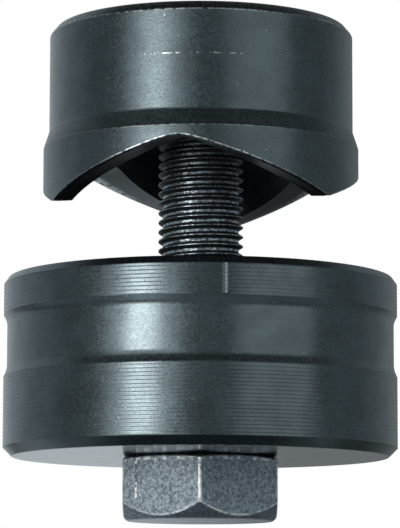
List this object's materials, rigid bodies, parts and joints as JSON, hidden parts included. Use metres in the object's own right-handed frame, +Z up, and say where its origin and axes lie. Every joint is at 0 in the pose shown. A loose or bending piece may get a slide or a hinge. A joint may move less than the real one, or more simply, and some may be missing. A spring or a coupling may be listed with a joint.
{
  "type": "tap hole punch",
  "caption": "Sheet-metal hole punch: a cup-shaped punch with a pointed, waved rim, threaded on a hexagon-headed draw screw that pulls it down into a cup-shaped die.",
  "frame": {"origin": "centre of the screw head's end face, which the tool stands on", "axes": "+Z up along the screw, from its head to the punch's crown; -Y is the side that the picture shows"},
  "size_m": [0.0434, 0.0434, 0.0547],
  "materials": {
    "screw_steel": "blackened steel, rolled thread, finely mottled hexagon head with worn edges",
    "die_steel": "blackened turned steel with fine turning marks, ground lower face",
    "punch_steel": "blackened turned steel with worn cutting edges"
  },
  "bodies": {
    "die": {"die": "die_steel"},
    "screw": {"draw_screw": "screw_steel"},
    "punch": {"punch": "punch_steel"}
  },
  "joints": [
    {"name": "punch_travel", "type": "slide", "parent": "die", "child": "punch", "axis": [0, 0, 1], "range_m": [-0.0201, 0.003]},
    {"name": "screw_turn", "type": "hinge", "parent": "die", "child": "screw", "pos_m": [0, 0, 0.007], "axis": [0, 0, 1], "range_deg": [-1025, 6845]}
  ],
  "couplings": [
    {"joint": "screw_turn", "follows": "punch_travel", "rad_per_m": -5936.9}
  ]
}
